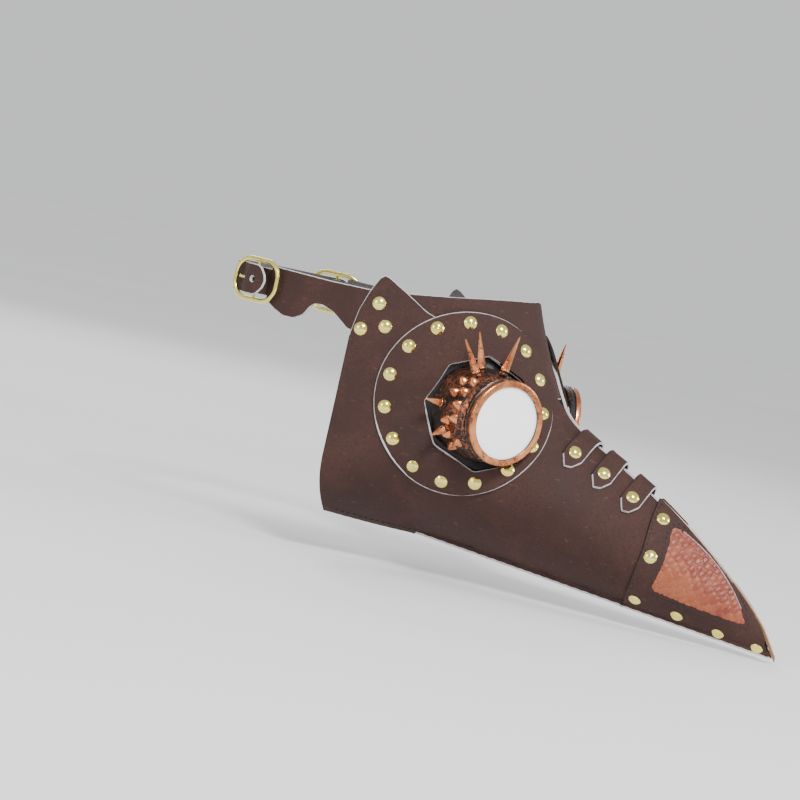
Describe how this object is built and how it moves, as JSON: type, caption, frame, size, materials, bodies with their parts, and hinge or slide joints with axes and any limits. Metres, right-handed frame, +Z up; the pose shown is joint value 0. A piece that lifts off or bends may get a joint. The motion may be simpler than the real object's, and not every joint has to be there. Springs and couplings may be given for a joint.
{
  "type": "plague doctor mask",
  "caption": "Long beaked leather face mask with screw-on round goggles, spikes, riveted patches and buckled head strap.",
  "frame": {"origin": "mid plane of the mask, level with the goggle lenses, in the plane of the cheek panels' rear edges", "axes": "+Z up, the beak points along -Y, +X is the wearer's left"},
  "size_m": [0.1794, 0.4324, 0.2002],
  "materials": {
    "brown_leather": "matte, fine grain",
    "scaled_leather": "embossed scales, satin",
    "tan_leather": "matte",
    "brass": "polished",
    "aged_copper": "brushed copper plate over black patina",
    "black_plastic": "satin",
    "milky_lens": "glossy, milky white",
    "seal_rubber": "matte"
  },
  "bodies": {
    "mask": {"brow_band": "brown_leather", "bridge_strap_1": "brown_leather", "bridge_strap_2": "brown_leather", "bridge_strap_3": "brown_leather", "ridge_strip": "tan_leather", "rear_strap": "brown_leather", "cheek_panel_right": "brown_leather", "cheek_panel_left": "brown_leather", "eye_patch_right": "brown_leather", "eye_patch_left": "brown_leather", "beak_cap_right": "brown_leather", "beak_cap_left": "brown_leather", "scale_inset_right": "scaled_leather", "scale_inset_left": "scaled_leather", "patch_rivets_right": "brass", "patch_rivets_left": "brass", "temple_rivets_right": "brass", "temple_rivets_left": "brass", "bridge_rivets_right": "brass", "bridge_rivets_left": "brass", "cap_rivets_right": "brass", "cap_rivets_left": "brass", "eyecup_right": "black_plastic", "eyecup_left": "black_plastic", "vent_sleeve_right": "aged_copper", "vent_sleeve_left": "aged_copper", "spikes_right": "aged_copper", "spikes_left": "aged_copper", "lens_seal_right": "seal_rubber", "lens_seal_left": "seal_rubber", "buckle_loop_right": "brown_leather", "buckle_loop_left": "brown_leather"},
    "lens_right": {"lens_right": "milky_lens"},
    "bezel_right": {"bezel_right": "aged_copper"},
    "buckle_frame_right": {"buckle_frame_right": "brass"},
    "buckle_prong_right": {"buckle_prong_right": "brass"},
    "lens_left": {"lens_left": "milky_lens"},
    "bezel_left": {"bezel_left": "aged_copper"},
    "buckle_frame_left": {"buckle_frame_left": "brass"},
    "buckle_prong_left": {"buckle_prong_left": "brass"}
  },
  "joints": [
    {"name": "lens_travel_right", "type": "slide", "parent": "mask", "child": "lens_right", "axis": [-0.5874, -0.8085, -0.0349], "range_m": [0, 0.00801]},
    {"name": "bezel_unscrew_right", "type": "hinge", "parent": "lens_right", "child": "bezel_right", "pos_m": [-0.0665, -0.1226, 0], "axis": [-0.5874, -0.8085, -0.0349], "range_deg": [0, 1440]},
    {"name": "buckle_swing_right", "type": "hinge", "parent": "mask", "child": "buckle_frame_right", "pos_m": [-0.07354, 0.07282, 0.0555], "axis": [0, 0, 1], "range_deg": [-4, 5]},
    {"name": "prong_swing_right", "type": "hinge", "parent": "mask", "child": "buckle_prong_right", "pos_m": [-0.07354, 0.07282, 0.0555], "axis": [0, 0, 1], "range_deg": [-2.5, 2.5]},
    {"name": "lens_travel_left", "type": "slide", "parent": "mask", "child": "lens_left", "axis": [0.5874, -0.8085, -0.0349], "range_m": [0, 0.00801]},
    {"name": "bezel_unscrew_left", "type": "hinge", "parent": "lens_left", "child": "bezel_left", "pos_m": [0.0665, -0.1226, 0], "axis": [0.5874, -0.8085, -0.0349], "range_deg": [0, 1440]},
    {"name": "buckle_swing_left", "type": "hinge", "parent": "mask", "child": "buckle_frame_left", "pos_m": [0.07354, 0.07282, 0.0555], "axis": [0, 0, 1], "range_deg": [-5, 4]},
    {"name": "prong_swing_left", "type": "hinge", "parent": "mask", "child": "buckle_prong_left", "pos_m": [0.07354, 0.07282, 0.0555], "axis": [0, 0, 1], "range_deg": [-2.5, 2.5]}
  ],
  "couplings": [
    {"joint": "lens_travel_right", "follows": "bezel_unscrew_right", "m_per_rad": 0.00031831},
    {"joint": "lens_travel_left", "follows": "bezel_unscrew_left", "m_per_rad": 0.00031831}
  ]
}
